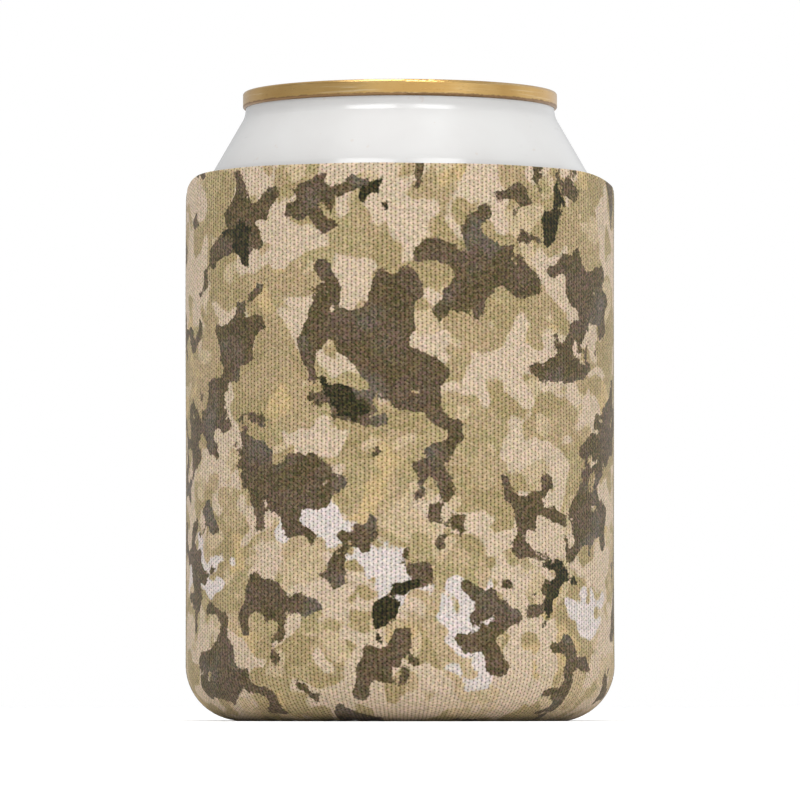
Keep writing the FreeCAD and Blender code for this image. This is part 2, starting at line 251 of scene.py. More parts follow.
def base_layer(name, low, high):
    """One layer of the round base: a closed disc whose middle stands a little higher than its edge.

    Its under side is drawn up and puckered at the rim, where the seam is. Returns the object and its
    points laid flat.
    """
    rings, spokes = 40, 180
    dish, sway_height, rim_lift = 0.18, 0.10, 0.35
    share = np.linspace(0, 1, rings + 1)[1:] ** 0.8
    a = np.linspace(0, 2 * math.pi, spokes, endpoint=False)
    grid_share, grid_a = np.meshgrid(share, a, indexing="ij")
    grid_r = grid_share * BASE_R
    sway = sway_height * np.sin(3 * grid_a + grid_r / 6) * grid_share - dish * grid_share**2
    drawn = PUCKER * grid_share**8 * pucker_wave(grid_a) + rim_lift * np.exp(-((BASE_R - grid_r) ** 2))
    sides = [np.stack([grid_r * np.sin(grid_a), -grid_r * np.cos(grid_a), z + sway], axis=-1)
             for z in (low + drawn, high)]
    loops = np.concatenate([sides[0], sides[1][::-1]])
    points = loops.reshape(-1, 3)
    faces = grid_faces(len(loops), spokes, wrap_columns=True)
    first, last = len(points), len(points) + 1
    centres = np.array([[0, 0, low], [0, 0, high]])
    end = (len(loops) - 1) * spokes
    for j in range(spokes):
        faces.append((first, (j + 1) % spokes, j))
        faces.append((last, end + j, end + (j + 1) % spokes))
    obj = make_mesh(name, np.concatenate([points, centres]), faces)
    flat = np.concatenate([points, centres]) * [1, 1, 0]
    store(obj, "cloth", flat)
    return obj, flat


def tube(name, paths, radius):
    """Round threads along paths of points in mm, each capped at both ends."""
    sides = 7
    turns = np.linspace(0, 2 * math.pi, sides, endpoint=False)
    points, faces = [], []
    for path in paths:
        path = np.asarray(path, float)
        count = len(path)
        ahead = np.gradient(path, axis=0)
        ahead /= np.linalg.norm(ahead, axis=1)[:, None]
        side = np.cross(ahead, [0, 0, 1.0])
        weak = np.linalg.norm(side, axis=1) < 0.2
        side[weak] = np.cross(ahead[weak], [1.0, 0, 0])
        side /= np.linalg.norm(side, axis=1)[:, None]
        other = np.cross(ahead, side)
        start = len(points)
        ring = np.cos(turns)[None, :, None] * side[:, None, :]
        ring = ring + np.sin(turns)[None, :, None] * other[:, None, :]
        points.extend((path[:, None, :] + radius * ring).reshape(-1, 3).tolist())
        faces.extend(tuple(start + i for i in f) for f in grid_faces(count, sides, wrap_columns=True))
        faces.append(tuple(start + j for j in range(sides)))
        faces.append(tuple(start + (count - 1) * sides + j for j in reversed(range(sides))))
    return make_mesh(name, points, faces)


def seam_thread(name, centre):
    """Two crossing zigzags of thread over a side seam, with a straight needle row down each edge."""
    half_width, lift, thread_r, per_leg = 1.75, 0.03, 0.12, 6
    leg = STITCH_PITCH / 2
    low, high = CORNER_R - CORNER_ARC + 0.4, SLEEVE_H - 0.5
    legs = int((high - low) / leg) + 1
    paths = []
    for side, late, crossing_height in ((-1, 0.0, 0.0), (1, 1.0, 0.15)):
        step = np.arange(legs * per_leg) / per_leg
        swing = (-1.0) ** np.floor(step) * np.cos(math.pi * (step % 1))
        along = high - (step + late) * leg
        across, along = (half_width * side * swing)[along > low], along[along > low]
        arch = lift + crossing_height * (1 - (np.abs(across) / half_width) ** 2)
        paths.append(wall_points(centre + np.degrees(across / OUTER_R), along, 0.0, arch))
    row_lift, row_arch, row_step = 0.01, 0.09, 0.2
    for edge in (-half_width, half_width):
        along = np.arange(high, low, -row_step)
        arch = row_lift + row_arch * np.abs(np.sin(math.pi * along / STITCH_PITCH))
        paths.append(wall_points(centre + np.degrees(edge / OUTER_R), along, 0.0, arch))
    return tube(name, paths, thread_r)


def base_thread(name):
    """The zigzag that joins the base to the wall, just inside the base's rim."""
    legs, per_leg, reach, inset, thread_r = 150, 6, 0.75, 0.95, 0.13
    below, rim_lift, sag, lowest = 0.16, 0.30, 0.08, 0.2
    t = np.linspace(0, 2 * math.pi, legs * per_leg + 1)
    wave = np.cos(t * legs / 2)
    r = BASE_R - inset + reach * wave
    z = BASE_Z - below + rim_lift * np.exp(-((BASE_R - r) ** 2)) - sag * (1 - wave**2)
    z = np.maximum(z, lowest)
    path = np.stack([r * np.sin(t), -r * np.cos(t), z], axis=-1)
    return tube(name, [path], thread_r)


def seam_tape(name, centre):
    """Woven tape over the inside of a side seam, standing a little proud of the lining."""
    half_width = 5.0
    half = math.degrees(half_width / OUTER_R)
    obj, _, _ = wall_layer(
        name, centre - half, centre + half, outside=WALL_T - 0.12, inside=WALL_T + 0.13,
        top=SLEEVE_H - 0.7, edge=0.12, step=0.8,
    )
    return obj


def tongue_bend(name):
    """The bent strip that joins the tab to its riveted tongue."""
    count = 9
    last, sheet = count - 1, count * count
    side_gap, overlap, length, skin = 0.35, 0.25, 0.85, 0.015
    low, high = TONGUE_BOX[0][2] / MM + skin, TONGUE_BOX[1][2] / MM - skin
    half_width = TONGUE_BOX[1][0] / MM - side_gap
    rear = TONGUE_BOX[0][1] / MM + overlap
    xs, ys = np.meshgrid(
        np.linspace(-half_width, half_width, count), np.linspace(rear, rear - length, count)
    )
    points = np.concatenate([np.stack([xs, ys, np.full_like(xs, z)], axis=-1) for z in (high, low)])
    upper = grid_faces(count, count)
    faces = [f[::-1] for f in upper] + [tuple(sheet + i for i in f) for f in upper]
    rim = list(range(count)) + [i * count + last for i in range(1, count)]
    rim += [last * count + j for j in reversed(range(last))]
    rim += [i * count for i in reversed(range(1, last))]
    for a, b in zip(rim, rim[1:] + rim[:1]):
        faces.append((a, b, b + sheet, a + sheet))
    return make_mesh(name, points.reshape(-1, 3), faces)


# ---------------------------------------------------------------- the printed camouflage

# Rough places of the front panel's boldest patches: (angle in degrees, developed height in mm, size in mm)
DARK = [
    (-5, 62, 26), (22, 75, 19), (57, 72, 18), (47, 60, 14), (-45, 82, 17), (-50, 62, 16), (-24, 88, 14),
    (-30, 40, 19), (-42, 44, 14), (72, 48, 18), (-36, 20, 15), (-52, 8, 19), (36, 36, 13), (-14, 52, 12),
]
GREEN = [(-48, 81, 8), (-6, 88, 5), (44, 84, 8), (-15, 53, 7), (-4, 18, 8), (46, 24, 9)]
PALE = [(-20, 33, 18), (-3, 26, 16), (-66, 25, 16), (20, 14, 17), (60, 18, 13)]
STRAW = [(40, 10, 20)]

# How the rest is scattered at random: (how far apart, smallest size, largest size), in mm
DARK_SCATTER = (13, 5, 13.5)
CREAM_SCATTER = (14.5, 10, 20)
OLIVE_SCATTER = (14, 8, 16)
STRAW_SCATTER = (20, 5, 9)

FAR = 5.0                # distances from a stroke are worked out up to here, in mm


def wander(rng, start, heading, length, radius):
    """A brush stroke: (u, v, radius) points in mm that wander off from start, thinner towards the end."""
    legs, taper, turn = 3, 0.65, 1.0
    u, v = start
    stroke = []
    for leg in range(legs + 1):
        stroke.append((u, v, radius * (1 - taper * leg / legs) * rng.uniform(0.75, 1.25)))
        heading += rng.uniform(-turn, turn)
        u += length / legs * math.cos(heading)
        v += length / legs * math.sin(heading)
    return stroke


def grown_patch(rng, spot):
    """Strokes of one ragged patch: fat arms of uneven length round its middle, and thin tails on some."""
    angle, height, size = spot
    middle = (math.radians(angle) * OUTER_R, height)
    arms, tails = 3 + int(size / 6), 1 + int(size / 9)
    first = rng.uniform(0, 2 * math.pi)
    headings = first + np.arange(arms) * 2 * math.pi / arms + rng.uniform(-0.5, 0.5, arms)
    strokes = []
    for heading in headings:
        length = size * rng.uniform(0.2, 0.62)
        radius = size * rng.uniform(0.12, 0.19)
        strokes.append(wander(rng, middle, heading, length, radius))
    for arm in rng.integers(arms, size=tails):
        u, v, radius = strokes[arm][-1]
        heading = rng.uniform(0, 2 * math.pi)
        strokes.append(wander(rng, (u, v), heading, 0.45 * size, radius))
    return strokes


def scattered_spots(rng, spots, apart, smallest, largest):
    """Random spots on a shaken grid over a panel, left out on and close to the given spots."""
    lowest, least_gap = -6, 0.3 * apart
    made = []
    for height in np.arange(lowest, SLEEVE_H + apart, apart):
        for u in np.arange(-HALF_ROUND / 2, HALF_ROUND / 2 + apart, apart):
            shake_u, shake_v, share = rng.uniform((-0.5, -0.5, 0), (0.5, 0.5, 1))
            here_u, here_v = u + shake_u * apart, height + shake_v * apart
            gaps = [
                math.hypot(here_u - math.radians(spot_angle) * OUTER_R, here_v - spot_height) - spot_size / 2
                for spot_angle, spot_height, spot_size in spots
            ]
            if not gaps or min(gaps) > least_gap:
                size = smallest + share * (largest - smallest)
                made.append((math.degrees(here_u / OUTER_R), here_v, size))
    return made


def patch_strokes(rng, spots, scatter=None):
    """All strokes of one colour: a patch on each given spot, and on each scattered one."""
    if scatter:
        spots = spots + scattered_spots(rng, spots, *scatter)
    return [stroke for spot in spots for stroke in grown_patch(rng, spot)]


def brush_distance(angle, height, strokes):
    """Distance in mm from each cloth point to the nearest stroke's edge, at most FAR; negative inside."""
    u, v = np.radians(angle) * OUTER_R, np.asarray(height)
    nearest = np.full(u.shape, FAR)
    for stroke in strokes:
        us, vs, radii = np.array(stroke).T
        reach = radii.max() + FAR
        near = (u > us.min() - reach) & (u < us.max() + reach)
        near &= (v > vs.min() - reach) & (v < vs.max() + reach)
        here_u, here_v, least = u[near], v[near], nearest[near]
        for (u0, v0, r0), (u1, v1, r1) in zip(stroke, stroke[1:]):
            du, dv = u1 - u0, v1 - v0
            t = np.clip(((here_u - u0) * du + (here_v - v0) * dv) / (du * du + dv * dv), 0, 1)
            gap = np.hypot(here_u - u0 - t * du, here_v - v0 - t * dv) - (r0 + t * (r1 - r0))
            least = np.minimum(least, gap)
        nearest[near] = least
    return nearest


def paint(obj, angle, height, seed):
    """Stores on the cloth its distance from each colour's patches, in two attributes of three fields."""
    rng = np.random.default_rng(seed)
    layers = (
        patch_strokes(rng, DARK, DARK_SCATTER),
        patch_strokes(rng, GREEN),
        patch_strokes(rng, PALE),
        patch_strokes(rng, [], CREAM_SCATTER),
        patch_strokes(rng, [], OLIVE_SCATTER),
        patch_strokes(rng, STRAW, STRAW_SCATTER),
    )
    fields = [brush_distance(angle, height, strokes) for strokes in layers]
    store(obj, "print_a", np.stack(fields[:3], axis=-1))
    store(obj, "print_b", np.stack(fields[3:], axis=-1))


# ---------------------------------------------------------------- node helpers

def screen(red, green, blue):
    """A colour given as 0-255 screen values, still as screen values."""
    return (red / 255, green / 255, blue / 255, 1.0)


def linear(red, green, blue):
    """A colour given as 0-255 screen values, as linear RGBA."""
    def one(c):
        c /= 255
        return c / 12.92 if c <= 0.04045 else ((c + 0.055) / 1.055) ** 2.4
    return (one(red), one(green), one(blue), 1.0)


MINUS_HALF = (-0.5, -0.5, -0.5)          # centres values of 0 to 1 on zero


class Graph:
    """The node tree of a material or a world, and short calls that add nodes to it."""

    def __init__(self, owner):
        owner.use_nodes = True
        self.owner = owner
        self.tree = owner.node_tree

    def put(self, socket, value):
        """Links an output to the socket, or sets the socket to a constant."""
        if isinstance(value, bpy.types.NodeSocket):
            self.tree.links.new(value, socket)
        else:
            socket.default_value = value

    def node(self, kind, **settings):
        made = self.tree.nodes.new(kind)
        for key, value in settings.items():
            setattr(made, key, value)
        return made

    def math(self, operation, a, b=0.0):
        made = self.node("ShaderNodeMath", operation=operation)
        self.put(made.inputs[0], a)
        self.put(made.inputs[1], b)
        return made.outputs[0]

    def mix(self, factor, a, b):
        """A colour between a and b. The node's colour sockets are 6 and 7 in and 2 out."""
        made = self.node("ShaderNodeMix", data_type="RGBA")
        self.put(made.inputs[0], factor)
        self.put(made.inputs[6], a)
        self.put(made.inputs[7], b)
        return made.outputs[2]

    def attribute(self, name):
        return self.node("ShaderNodeAttribute", attribute_name=name).outputs["Vector"]

    def place(self):
        return self.node("ShaderNodeTexCoord").outputs["Object"]

    def split(self, vector):
        made = self.node("ShaderNodeSeparateXYZ")
        self.put(made.inputs[0], vector)
        return tuple(made.outputs)

    def join(self, x, y, z=0.0):
        made = self.node("ShaderNodeCombineXYZ")
        for socket, value in zip(made.inputs, (x, y, z)):
            self.put(socket, value)
        return made.outputs[0]

    def vector_math(self, operation, a, b):
        made = self.node("ShaderNodeVectorMath", operation=operation)
        self.put(made.inputs[0], a)
        self.put(made.inputs[1], b)
        return made

    def scaled(self, vector, factors):
        return self.vector_math("MULTIPLY", vector, factors).outputs[0]

    def moved(self, vector, by):
        return self.vector_math("ADD", vector, by).outputs[0]

    def noise(self, vector, scale, detail=2.0, roughness=0.5):
        made = self.node("ShaderNodeTexNoise")
        self.put(made.inputs["Vector"], vector)
        for key, value in (("Scale", scale), ("Detail", detail), ("Roughness", roughness)):
            self.put(made.inputs[key], value)
        return made.outputs[0]

    def cells(self, vector, scale=1.0, output="Color", randomness=1.0):
        """Flat random cells: a colour for each, or the distance to its middle."""
        made = self.node("ShaderNodeTexVoronoi", voronoi_dimensions="2D")
        self.put(made.inputs["Vector"], vector)
        self.put(made.inputs["Scale"], scale)
        self.put(made.inputs["Randomness"], randomness)
        return made.outputs[output]

    def swayed(self, vector, scale, amount):
        """The vector pushed about by up to half the amount."""
        made = self.node("ShaderNodeTexNoise")
        self.put(made.inputs["Vector"], vector)
        self.put(made.inputs["Scale"], scale)
        push = self.scaled(self.moved(made.outputs["Color"], MINUS_HALF), (amount, amount, amount))
        return self.moved(vector, push)

    def decoded(self, colour):
        """Screen values turned into linear light."""
        made = self.node("ShaderNodeGamma")
        self.put(made.inputs["Color"], colour)
        made.inputs["Gamma"].default_value = 2.2
        return made.outputs["Color"]

    def step(self, value, low, high):
        """0 below low, 1 above high and smooth between; swap them for the reverse."""
        made = self.node("ShaderNodeMapRange", interpolation_type="SMOOTHSTEP")
        self.put(made.inputs["Value"], value)
        made.inputs["From Min"].default_value = min(low, high)
        made.inputs["From Max"].default_value = max(low, high)
        result = made.outputs["Result"]
        return result if low < high else self.math("SUBTRACT", 1.0, result)

    def bump(self, height, distance, strength=1.0):
        """A normal from a height of 0 to 1, which stands for the distance in mm."""
        made = self.node("ShaderNodeBump")
        made.inputs["Distance"].default_value = distance * MM
        made.inputs["Strength"].default_value = strength
        self.put(made.inputs["Height"], height)
        return made.outputs["Normal"]

    def finish(self, colour, roughness, normal, **constants):
        """Sets the shader's sockets, and returns the material."""
        shader = self.tree.nodes["Principled BSDF"]
        for key, value in (("Base Color", colour), ("Roughness", roughness), ("Normal", normal)):
            self.put(shader.inputs[key], value)
        for key, value in constants.items():
            shader.inputs[key.replace("_", " ")].default_value = value
        return self.owner


def new_material(name):
    return Graph(bpy.data.materials.new(name))


# ---------------------------------------------------------------- materials

def knit_relief(g, cloth, wale, course):
    """(needle holes 0-1, relief 0-1) of a warp knit, from cloth coordinates in mm."""
    u, v, _ = g.split(g.swayed(cloth, 0.7, 0.16))
    across = g.math("COSINE", g.math("MULTIPLY", u, math.pi / wale))
    along = g.math("COSINE", g.math("MULTIPLY", v, 2 * math.pi / course))
    square = g.math("MULTIPLY", across, across)
    groove = g.math("MULTIPLY", square, g.math("MULTIPLY", square, square))
    narrow = g.math("MULTIPLY", across, g.math("MULTIPLY", square, square))
    holes = g.step(g.math("MULTIPLY", narrow, along), 0.22, 0.75)
    # The grooves between wales get a small share of the holes' darkening, which is painted shade in the
    # grooves
    holes = g.math("MAXIMUM", holes, g.math("MULTIPLY", groove, 0.14))
    slant = g.math("ADD", g.math("MULTIPLY", u, 2 * math.pi / wale),
                   g.math("MULTIPLY", v, 2 * math.pi / course))
    yarn = g.math("MULTIPLY", g.math("ADD", g.math("SINE", slant), 1.0), 0.5)
    rib = g.math("SUBTRACT", 1.0, g.math("ABSOLUTE", across))
    relief = g.math("ADD", g.math("MULTIPLY", rib, 0.20), g.math("MULTIPLY", yarn, 0.30))
    relief = g.math("ADD", relief, 0.5)
    relief = g.math("MULTIPLY", relief, g.math("SUBTRACT", 1.0, g.math("MULTIPLY", holes, 0.9)))
    return holes, relief


def stitches(g, cloth, wale, course):
    """A random colour for each stitch, -0.5 to 0.5 in each channel."""
    return g.moved(g.cells(g.scaled(cloth, (2 / wale, 2 / course, 1)), randomness=0.7), MINUS_HALF)


def knitted(g, cloth, colour, wale, course, fleck, hole):
    """(colour, relief) of a knit from its print: flecked stitch by stitch, painted lighter on the yarn's
    crests and darker in its grooves as painted shade, and darker in the needle holes: partly the dark foam
    behind, partly painted shade.

    The print, fleck and hole are in screen values.
    """
    holes, relief = knit_relief(g, cloth, wale, course)
    stitch = stitches(g, cloth, wale, course)
    shade, _, _ = g.split(stitch)
    speck = g.mix(0.28, g.join(shade, shade, shade), stitch)
    twice = g.math("MULTIPLY", fleck, 2.0)
    colour = g.moved(colour, g.scaled(speck, g.join(twice, twice, twice)))
    # Painted light and shade: lighter on the yarn's crests, darker in the grooves between wales and in the
    # needle holes
    painted_relief_shading = g.math("SUBTRACT", g.math("MULTIPLY", relief, 0.10), 0.06)
    # The needle holes are painted darker still: partly the dark foam behind, partly painted shade
    dark = g.math("SUBTRACT", painted_relief_shading, g.math("MULTIPLY", holes, hole))
    colour = g.moved(colour, g.join(dark, dark, dark))
    darkest = (0.04, 0.04, 0.04)
    return g.decoded(g.vector_math("MAXIMUM", colour, darkest).outputs[0]), relief


def camo_knit():
    """A generic camouflage print: grown patches with bitten edges, over a ground of noise patches."""
    g = new_material("camo_knit")
    cloth = g.attribute("cloth")
    dark, green, pale = g.split(g.attribute("print_a"))
    cream, olive, straw = g.split(g.attribute("print_b"))

    def bites(offset, size, depth):
        """Edge offset in mm: round bites of a size, with points left between them."""
        swayed = g.swayed(g.moved(cloth, offset), 0.5, 1.2)
        spread = g.cells(swayed, 1 / size, "Distance")
        return g.math("MULTIPLY", g.math("SUBTRACT", 0.42, spread), depth)

    def fray(offset, scale, depth):
        """Edge offset in mm: fine uneven fraying."""
        cloud = g.noise(g.moved(cloth, offset), scale, 2)
        return g.math("MULTIPLY", g.math("SUBTRACT", cloud, 0.5), depth)

    _, height, _ = g.split(cloth)
    dither, _, _ = g.split(stitches(g, cloth, WALE, COURSE))
    dither = g.math("MULTIPLY", dither, 0.22)
    bold = g.math("ADD", bites((3, 8, 0), 4.4, 2.3), bites((60, 2, 0), 1.8, 0.65))
    edge_a = g.math("ADD", g.math("ADD", bold, fray((41, 7, 0), 1.3, 0.4)), dither)
    loose = g.math("ADD", bites((17, 51, 0), 6.2, 3.6), bites((9, 33, 0), 2.3, 0.8))
    edge_b = g.math("ADD", loose, dither)

    def painted(field, soft, edge):
        """1 inside a field's patches and 0 outside, over twice the soft mm."""
        return g.step(g.math("ADD", field, edge), soft, -soft)

    def noise_patches(offset, scale, level, slope):
        """Rough distance in mm from patches of noise. A higher level makes them smaller."""
        cloud = g.noise(g.moved(cloth, offset), scale, 1.0)
        return g.math("MULTIPLY", g.math("SUBTRACT", level, cloud), slope)

    lower = g.step(height, 62, 20)
    ground = g.mix(lower, screen(163, 143, 108), screen(175, 154, 120))
    broad = noise_patches((13, 90, 0), 0.07, 0.47, 44)
    light = noise_patches((70, 31, 0), 0.10, 0.60, 34)
    light = g.math("SUBTRACT", light, g.math("MULTIPLY", lower, 1.6))
    for field, soft, edge, colour in (
        (broad, 0.3, edge_b, screen(156, 138, 100)),
        (light, 0.3, edge_a, screen(184, 164, 131)),
        (olive, 0.25, edge_b, screen(162, 145, 107)),
        (straw, 0.5, edge_b, screen(184, 160, 117)),
        (cream, 0.25, edge_b, screen(192, 172, 147)),
        (pale, 0.25, edge_a, screen(203, 191, 184)),
    ):
        ground = g.mix(painted(field, soft, edge), ground, colour)

    shade = g.noise(g.moved(cloth, (5, 55, 0)), 0.16, 2)
    smoke = g.noise(g.moved(cloth, (90, 12, 0)), 0.11, 2)
    brown = g.mix(g.step(shade, 0.4, 0.62), screen(92, 78, 60), screen(86, 74, 49))
    brown = g.mix(g.step(smoke, 0.52, 0.68), brown, screen(96, 87, 73))
    inked = painted(g.math("SUBTRACT", dark, 0.15), 0.16, edge_a)
    ground = g.mix(inked, ground, brown)
    black_green = painted(g.math("SUBTRACT", green, 0.2), 0.18, edge_a)
    ground = g.mix(black_green, ground, screen(52, 48, 25))

    # Brown patches show less of the needle holes' darkening, which is partly painted shade
    fleck = g.math("ADD", 0.085, g.math("MULTIPLY", inked, 0.01))
    hole = g.math("SUBTRACT", 0.30, g.math("MULTIPLY", inked, 0.19))
    colour, relief = knitted(g, cloth, ground, WALE, COURSE, fleck, hole)
    fibre = g.noise(cloth, 14.0, 2)
    surface = g.math("ADD", relief, g.math("MULTIPLY", fibre, 0.25))
    rough = g.math("ADD", 0.78, g.math("MULTIPLY", fibre, 0.14))
    return g.finish(colour, rough, g.bump(surface, 0.07, 0.7), Sheen_Weight=0.08, Sheen_Roughness=0.5,
                    Specular_IOR_Level=0.25)


def plain_knit(name, base, wale, course):
    """One-colour knit, worn paler here and there."""
    g = new_material(name)
    cloth = g.attribute("cloth")
    paler = screen(*(c * 1.25 for c in base))
    worn = g.mix(g.step(g.noise(cloth, 0.12, 3), 0.42, 0.68), screen(*base), paler)
    # The lining's knit also gets painted shade on its relief; hole sets how much darker its needle holes are
    # painted, partly as painted shade
    colour, relief = knitted(g, cloth, worn, wale, course, fleck=0.07, hole=0.10)
    fibre = g.noise(cloth, 11.0, 2)
    height = g.math("ADD", relief, g.math("MULTIPLY", fibre, 0.3))
    rough = g.math("ADD", 0.8, g.math("MULTIPLY", fibre, 0.14))
    return g.finish(colour, rough, g.bump(height, 0.12, 0.8), Sheen_Weight=0.2, Sheen_Roughness=0.6)


def woven_tape():
    """Dark tape in plain weave, with painted light and shade following the weave's relief, dusty here and
    there.
    """
    g = new_material("woven_tape")
    cloth = g.attribute("cloth")
    u, v, _ = g.split(cloth)
    warp = g.math("SINE", g.math("MULTIPLY", u, 2 * math.pi / 0.8))
    weft = g.math("SINE", g.math("MULTIPLY", v, 2 * math.pi / 0.5))
    weave = g.math("MULTIPLY", g.math("ADD", g.math("MULTIPLY", warp, weft), 1.0), 0.5)
    # Painted light and shade: lighter where the weave stands higher, darker where it lies lower
    thread = g.mix(weave, linear(30, 30, 31), linear(58, 57, 56))
    colour = g.mix(g.step(g.noise(cloth, 0.3, 3), 0.45, 0.7), thread, linear(66, 64, 60))
    return g.finish(colour, g.math("ADD", 0.7, g.math("MULTIPLY", weave, 0.15)), g.bump(weave, 0.08),
                    Sheen_Weight=0.15)


def cut_foam():
    """Closed-cell foam: fine pits of mixed size with painted shade in them, a paler dusty skin here and
    there.
    """
    g = new_material("cut_foam")
    place = g.place()
    cell = g.node("ShaderNodeTexVoronoi", feature="DISTANCE_TO_EDGE")
    g.put(cell.inputs["Vector"], place)
    g.put(cell.inputs["Scale"], 3200.0)
    pit = g.step(cell.outputs[0], 0.02, 0.30)
    dust = g.step(g.noise(place, 420, 3), 0.45, 0.7)
    # Painted shade: the pits are darker than the foam between them
    colour = g.mix(pit, linear(52, 52, 53), linear(30, 30, 31))
    colour = g.mix(g.math("MULTIPLY", dust, 0.5), colour, linear(70, 69, 67))
    height = g.math("SUBTRACT", g.noise(place, 900, 2), pit)
    return g.finish(colour, g.math("ADD", 0.85, g.math("MULTIPLY", dust, 0.1)), g.bump(height, 0.08))


def sewing_thread():
    """Spun polyester: painted light and shade along the twist of its plies, lighter on their crests and
    darker between them, slightly fuzzy.
    """
    g = new_material("sewing_thread")
    place = g.place()
    x, y, z = g.split(place)
    twist = g.math("ADD", g.math("ADD", g.math("MULTIPLY", x, 9000), g.math("MULTIPLY", y, 7000)),
                   g.math("MULTIPLY", z, 11000))
    ply = g.math("MULTIPLY", g.math("ADD", g.math("SINE", twist), 1.0), 0.5)
    # Painted light and shade: the plies lighter where the twist stands higher, darker in the grooves between
    # them
    colour = g.mix(ply, linear(96, 84, 60), linear(150, 132, 98))
    colour = g.mix(g.step(g.noise(place, 500, 2), 0.4, 0.7), colour, linear(128, 112, 84))
    height = g.math("ADD", ply, g.math("MULTIPLY", g.noise(place, 9000, 2), 0.5))
    return g.finish(colour, g.math("ADD", 0.55, g.math("MULTIPLY", ply, 0.2)), g.bump(height, 0.05),
                    Sheen_Weight=0.2)


def white_coating():
    """Satin white lacquer on drawn aluminium: faint orange peel, drawing lines, specks and scuffs."""
    g = new_material("white_coating")
    place = g.place()
    x, y, z = g.split(place)
    angle = g.math("ARCTAN2", y, x)
    round_can = g.join(g.math("MULTIPLY", angle, 0.6), g.math("MULTIPLY", z, 900.0))
    lines = g.noise(round_can, 3.0, 3)
    peel = g.noise(place, 1300, 2)
    blush = g.noise(place, 60, 3)
    speck = g.step(g.noise(g.moved(place, (0.3, 0, 0)), 700, 1), 0.735, 0.77)
    scuff = g.step(g.noise(g.scaled(place, (1, 1, 5)), 160, 5, 0.7), 0.62, 0.72)
    colour = g.mix(g.step(blush, 0.35, 0.7), linear(206, 205, 203), linear(201, 199, 197))
    colour = g.mix(g.math("MULTIPLY", scuff, 0.35), colour, linear(192, 190, 188))
    colour = g.mix(g.math("MULTIPLY", speck, 0.4), colour, linear(196, 184, 174))
    rough = g.math("ADD", 0.26, g.math("MULTIPLY", scuff, 0.16))
    rough = g.math("ADD", rough, g.math("MULTIPLY", lines, 0.06))
    height = g.math("ADD", peel, g.math("MULTIPLY", lines, 0.5))
    return g.finish(colour, rough, g.bump(height, 0.006), Coat_Weight=0.9, Coat_Roughness=0.17)


def gold_lacquer():
    """Gold lacquer over rolled aluminium: fine rings of scratches, dull spots, and a darker lower rim that
    is worn lacquer and painted shade of the gap under the seam.
    """
    g = new_material("gold_lacquer")
    place = g.place()
    x, y, z = g.split(place)
    angle = g.math("ARCTAN2", y, x)
    radius = g.math("SQRT", g.math("ADD", g.math("MULTIPLY", x, x), g.math("MULTIPLY", y, y)))
    round_end = g.join(g.math("MULTIPLY", angle, 1.3), g.math("MULTIPLY", radius, 1500.0),
                       g.math("MULTIPLY", z, 1500.0))
    scratch = g.noise(round_end, 2.2, 4, 0.6)
    marks = g.step(g.noise(g.scaled(place, (1, 1, 6)), 900, 3, 0.7), 0.6, 0.72)
    cloud = g.noise(place, 130, 3)
    colour = g.mix(g.step(cloud, 0.35, 0.7), linear(217, 178, 112), linear(207, 165, 98))
    colour = g.mix(g.step(scratch, 0.52, 0.75), colour, linear(232, 206, 158))
    colour = g.mix(g.math("MULTIPLY", marks, 0.5), colour, linear(166, 128, 78))
    # The seam's lower edge, where it meets the neck, is darker and rougher: worn lacquer, and painted shade
    # of the gap under the seam
    ragged = g.math("MULTIPLY", g.math("SUBTRACT", g.noise(place, 1100, 3), 0.5), 0.5 * MM)
    below = g.step(g.math("ADD", z, ragged), RIM_LOW + 0.50 * MM, RIM_LOW + 0.28 * MM)
    outside = g.step(radius, RIM_R - 0.5 * MM, RIM_R - 0.3 * MM)
    worn = g.math("MULTIPLY", below, outside)
    colour = g.mix(g.math("MULTIPLY", worn, 0.85), colour, linear(128, 98, 70))
    rough = g.math("ADD", 0.22, g.math("MULTIPLY", scratch, 0.16))
    rough = g.math("ADD", rough, g.math("MULTIPLY", marks, 0.12))
    rough = g.math("ADD", rough, g.math("MULTIPLY", worn, 0.25))
    return g.finish(colour, rough, g.bump(scratch, 0.008), Metallic=1.0, Coat_Weight=0.25,
                    Coat_Roughness=0.15)


def tab_aluminium():
    """Bare rolled aluminium with the sheet's grain along Y, and bright worn spots."""
    g = new_material("tab_aluminium")
    place = g.place()
    grain = g.noise(g.scaled(place, (7000, 350, 7000)), 1.0, 4, 0.6)
    cloud = g.noise(place, 260, 3)
    colour = g.mix(g.step(grain, 0.3, 0.75), linear(188, 188, 190), linear(222, 222, 223))
    colour = g.mix(g.step(cloud, 0.5, 0.8), colour, linear(236, 236, 236))
    rough = g.math("ADD", 0.24, g.math("MULTIPLY", grain, 0.2))
    return g.finish(colour, rough, g.bump(grain, 0.006), Metallic=1.0)


def compound():
    """Grey sealing compound, matt and slightly grainy."""
    g = new_material("compound")
    place = g.place()
    grain = g.noise(place, 2500, 3)
    colour = g.mix(grain, linear(196, 192, 182), linear(214, 210, 200))
    return g.finish(colour, g.math("ADD", 0.7, g.math("MULTIPLY", grain, 0.2)), g.bump(grain, 0.02))


def dress(obj, material):
    obj.data.materials.clear()
    obj.data.materials.append(material)


# ---------------------------------------------------------------- the sleeve

CAMO = camo_knit()
LINING = plain_knit("lining_knit", (44, 44, 46), wale=0.7, course=0.8)
TAPE = woven_tape()
FOAM = cut_foam()
THREAD = sewing_thread()


def place_piece(piece, material, node):
    """Puts a sleeve piece in the place of its plain CAD node."""
    dress(piece, material)
    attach(piece, "sleeve")
    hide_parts(node)


